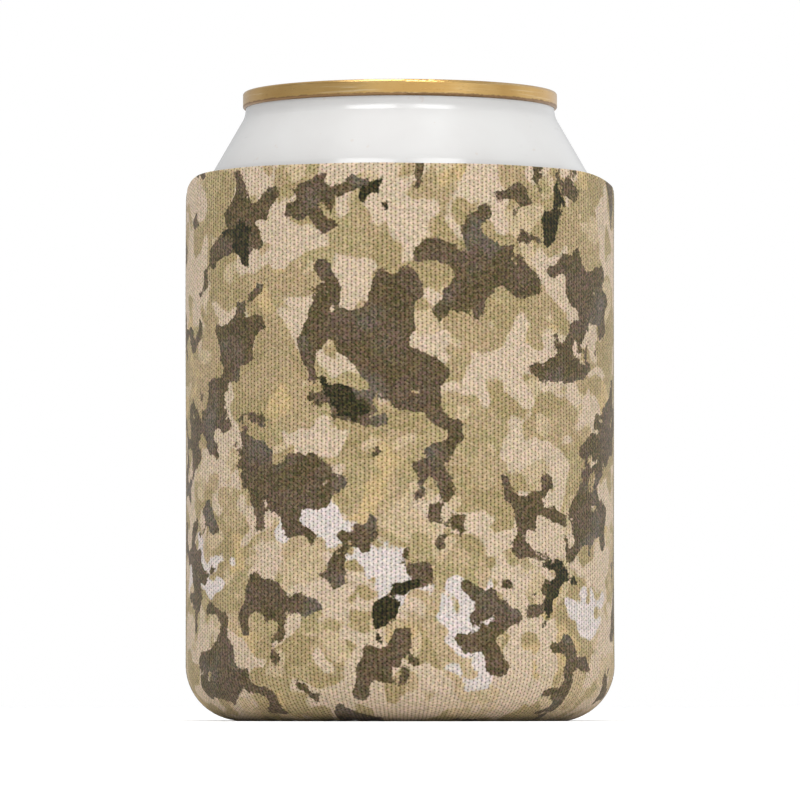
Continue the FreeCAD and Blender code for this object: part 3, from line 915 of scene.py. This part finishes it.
def add_wall(side, first):
    """Cover, foam and lining of the front or the back panel, from its first angle on."""
    last = first + 180
    cover, angle, height = wall_layer(
        f"{side}_cover_knit", first, last, outside=0.0, inside=COVER_T, top=SLEEVE_H, edge=0.22, step=0.66
    )
    foam, _, _ = wall_layer(
        f"{side}_foam_layer", first, last, outside=COVER_T, inside=LINING_DEPTH,
        top=SLEEVE_H - 0.25, edge=0.5, step=1.3,
    )
    lining, _, _ = wall_layer(
        f"{side}_lining_knit", first, last, outside=LINING_DEPTH, inside=WALL_T,
        top=SLEEVE_H - 0.05, edge=0.2, step=1.0,
    )
    if side == "front":
        paint(cover, angle, height, PRINT_SEED)
    else:
        paint(cover, 180.0 - angle, SLEEVE_H - height, PRINT_SEED + 1)
    place_piece(cover, CAMO, f"{side}_cover")
    place_piece(foam, FOAM, f"{side}_foam")
    place_piece(lining, LINING, f"{side}_lining")


def add_base():
    """Cover, foam pad and lining of the round base, and the thread round its rim."""
    cover, flat_points = base_layer("base_cover_knit", BASE_Z, BASE_FOAM_Z)
    pad, _ = base_layer("base_foam_pad", BASE_FOAM_Z, BASE_LINING_Z)
    lining, _ = base_layer("base_lining_knit", BASE_LINING_Z, BASE_TOP_Z)
    thread = base_thread("base_seam_thread")
    angle = np.degrees(flat_points[:, 0] / OUTER_R)
    paint(cover, angle, flat_points[:, 1] + SLEEVE_H / 2, PRINT_SEED + 2)
    place_piece(cover, CAMO, "base_cover")
    place_piece(pad, FOAM, "base_foam")
    place_piece(lining, LINING, "base_lining")
    place_piece(thread, THREAD, "base_seam_stitch")


def add_seams():
    """Thread outside and tape inside each side seam."""
    for side, centre in (("right", 90.0), ("left", -90.0)):
        thread = seam_thread(f"{side}_seam_thread", centre)
        tape = seam_tape(f"{side}_seam_tape_strip", centre)
        place_piece(thread, THREAD, f"{side}_seam_stitch")
        place_piece(tape, TAPE, f"{side}_seam_tape")


add_wall("front", -90.0)
add_wall("back", 90.0)
add_base()
add_seams()

# ---------------------------------------------------------------- the can

GOLD = gold_lacquer()
TAB = tab_aluminium()


def add_can_looks():
    """Materials on the can's own CAD meshes, and the bent strip between the tab and its tongue."""
    for node, material in (
        ("can_body", white_coating()),
        ("can_end", GOLD),
        ("tear_panel", GOLD),
        ("pull_tab", TAB),
        ("tab_tongue", TAB),
        ("seam_compound", compound()),
    ):
        dress(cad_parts[node], material)
    bend = tongue_bend("tab_bend_strip")
    dress(bend, TAB)
    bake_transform(bend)


add_can_looks()

# ---------------------------------------------------------------- floor, light and camera

CAMERA_AWAY = 1.145      # in metres, like the lights' sizes and distances
CAMERA_UP = 0.003
LENS = 300               # mm, on a sensor 36 mm wide
SENSOR = 36
AIM = Vector((0, 0, 0.0551))
ROOM_LIGHT = 0.55

# Where the room is darker or brighter than that: (azimuth, angle within which it is so in full,
# angle beyond which it isn't, share of the room's light), with the angles in degrees
ROOM_SPOTS = ((-72, 25, 62, -0.36), (50, 10, 42, 0.38), (128, 10, 52, 0.66))


def add_floor():
    """A plain white table top, large enough to run out of the picture."""
    reach = 4000             # mm
    corners = [(-reach, -reach, 0), (reach, -reach, 0), (reach, reach, 0), (-reach, reach, 0)]
    floor = make_mesh("floor", corners, [(0, 1, 2, 3)])
    g = new_material("white_table")
    grain = g.noise(g.place(), 60, 4)
    white = g.mix(grain, (0.93, 0.93, 0.93, 1), (0.96, 0.96, 0.96, 1))
    dress(floor, g.finish(white, 0.9, g.bump(grain, 0.05)))


def direction(azimuth, elevation):
    """Unit vector: azimuth 0 is towards the camera, positive to its right."""
    a, e = math.radians(azimuth), math.radians(elevation)
    return Vector((math.sin(a) * math.cos(e), -math.cos(a) * math.cos(e), math.sin(e)))


def link_new(name, data):
    """A new object in the scene that holds a light or a camera."""
    obj = bpy.data.objects.new(name, data)
    bpy.context.scene.collection.objects.link(obj)
    return obj


def add_softbox(name, azimuth, elevation, distance, width, height, watts):
    """An area light at a distance from the object, facing its middle."""
    light = bpy.data.lights.new(name, "AREA")
    light.shape = "RECTANGLE"
    light.size = width
    light.size_y = height
    light.energy = watts
    obj = link_new(name, light)
    way = direction(azimuth, elevation)
    obj.location = AIM + way * distance
    obj.rotation_euler = (-way).to_track_quat("-Z", "Y").to_euler()


def add_sky():
    """Broad soft light from straight above, even all over the table."""
    light = bpy.data.lights.new("sky", "SUN")
    light.energy = 1.75
    light.angle = math.radians(28)
    link_new("sky", light)


def background(g, colour):
    made = g.node("ShaderNodeBackground")
    made.inputs["Color"].default_value = colour
    return made


def add_world():
    """White to the camera; to all else a grey studio, darker at the left and brighter at the right."""
    world = bpy.data.worlds.new("studio")
    bpy.context.scene.world = world
    g = Graph(world)
    g.tree.nodes.clear()
    way = g.node("ShaderNodeTexCoord").outputs["Generated"]
    strength = ROOM_LIGHT
    for azimuth, inner, outer, change in ROOM_SPOTS:
        dot = g.vector_math("DOT_PRODUCT", way, direction(azimuth, 0)).outputs["Value"]
        near = g.step(dot, math.cos(math.radians(outer)), math.cos(math.radians(inner)))
        strength = g.math("ADD", strength, g.math("MULTIPLY", near, change * ROOM_LIGHT))
    room = background(g, (0.97, 0.985, 1.0, 1))
    g.put(room.inputs["Strength"], strength)
    white = background(g, (1, 1, 1, 1))
    mix = g.node("ShaderNodeMixShader")
    g.put(mix.inputs[0], g.node("ShaderNodeLightPath").outputs["Is Camera Ray"])
    g.put(mix.inputs[1], room.outputs[0])
    g.put(mix.inputs[2], white.outputs[0])
    g.put(g.node("ShaderNodeOutputWorld").inputs[0], mix.outputs[0])


def add_camera():
    """The photo's viewpoint, almost level with the table."""
    data = bpy.data.cameras.new("camera")
    data.lens = LENS
    data.sensor_width = SENSOR
    data.clip_end = 20
    camera = link_new("camera", data)
    camera.location = (0, -CAMERA_AWAY, CAMERA_UP)
    camera.rotation_euler = (AIM - camera.location).to_track_quat("-Z", "Y").to_euler()
    bpy.context.scene.camera = camera


add_floor()
add_world()
add_softbox("softbox_left", azimuth=-26, elevation=50, distance=1.25, width=0.62, height=0.32, watts=3.6)
add_softbox("softbox_right", azimuth=30, elevation=50, distance=1.25, width=0.52, height=0.32, watts=2.7)
add_softbox("strip", azimuth=4, elevation=44, distance=1.25, width=0.50, height=0.12, watts=0.4)
add_softbox("front_fill", azimuth=14, elevation=3, distance=1.6, width=2.4, height=0.9, watts=2.0)
add_sky()
add_camera()
bpy.context.scene.view_settings.view_transform = "Standard"
